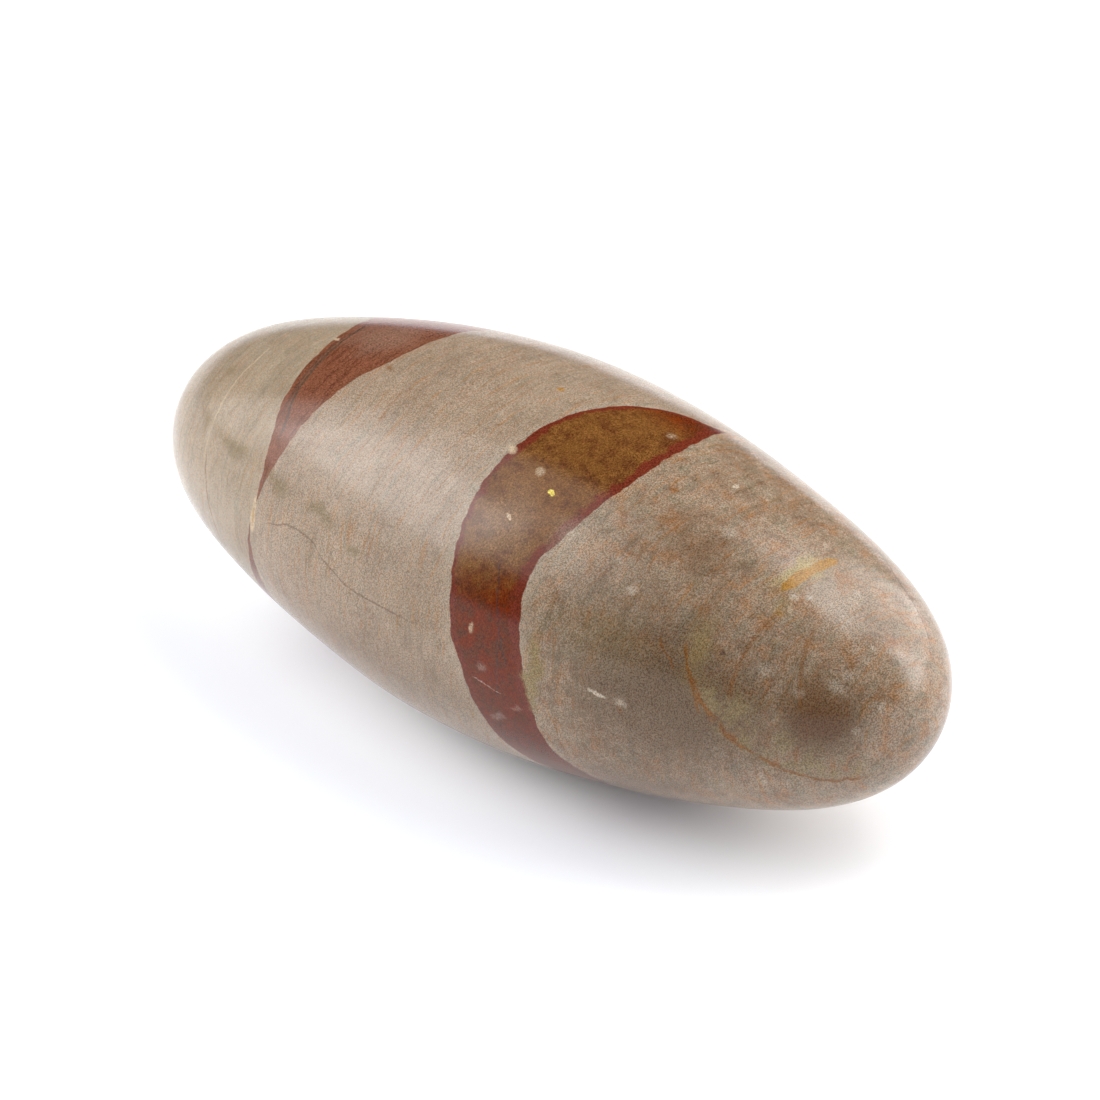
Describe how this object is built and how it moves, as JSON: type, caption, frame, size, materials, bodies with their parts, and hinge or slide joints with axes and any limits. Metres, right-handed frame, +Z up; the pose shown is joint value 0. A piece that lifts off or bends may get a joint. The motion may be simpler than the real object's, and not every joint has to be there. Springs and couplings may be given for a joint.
{
  "type": "shiva lingam stone",
  "caption": "Long egg-ended river stone, rubbed and polished, with a small worn flat to lie on.",
  "frame": {"origin": "middle of the small worn flat that the stone rests on, at the bottom of its bounding box", "axes": "+X along the stone from its far tip to its near tip, +Y across it, +Z up"},
  "size_m": [0.12, 0.051, 0.0497],
  "materials": {
    "stone": "satin"
  },
  "bodies": {
    "root": {"stone": "stone"}
  },
  "joints": []
}
